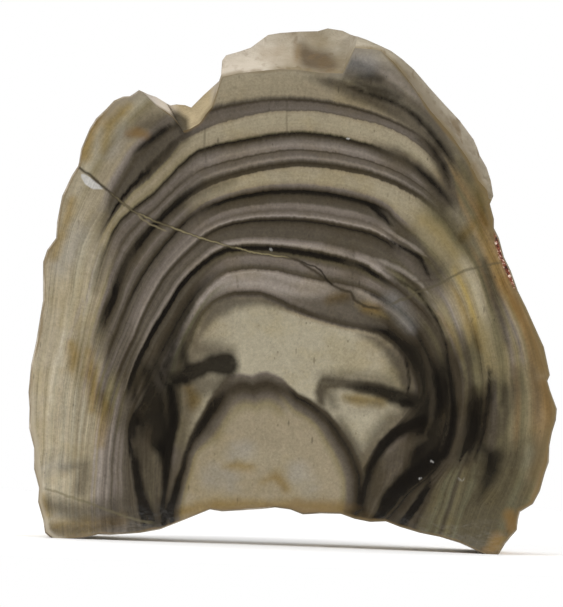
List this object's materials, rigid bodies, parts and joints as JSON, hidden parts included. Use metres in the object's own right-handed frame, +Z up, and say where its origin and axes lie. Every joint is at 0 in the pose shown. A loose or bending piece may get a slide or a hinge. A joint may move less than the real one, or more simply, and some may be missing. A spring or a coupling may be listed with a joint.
{
  "type": "faced rough flint",
  "caption": "Loose banded flint nodule with one sawn and polished face, broken edges, and rough rind and flake scars behind. Stands on two worn tips.",
  "frame": {"origin": "on the resting plane, under the middle of the stone's box", "axes": "+Z up as the stone stands, the polished face looks along -Y, +X to the right of someone who faces it"},
  "size_m": [0.1322, 0.042, 0.1304],
  "materials": {
    "flint": "glossy polish on the sawn face, dull rind and satin flake scars elsewhere"
  },
  "bodies": {
    "root": {"flint": "flint"}
  },
  "joints": []
}
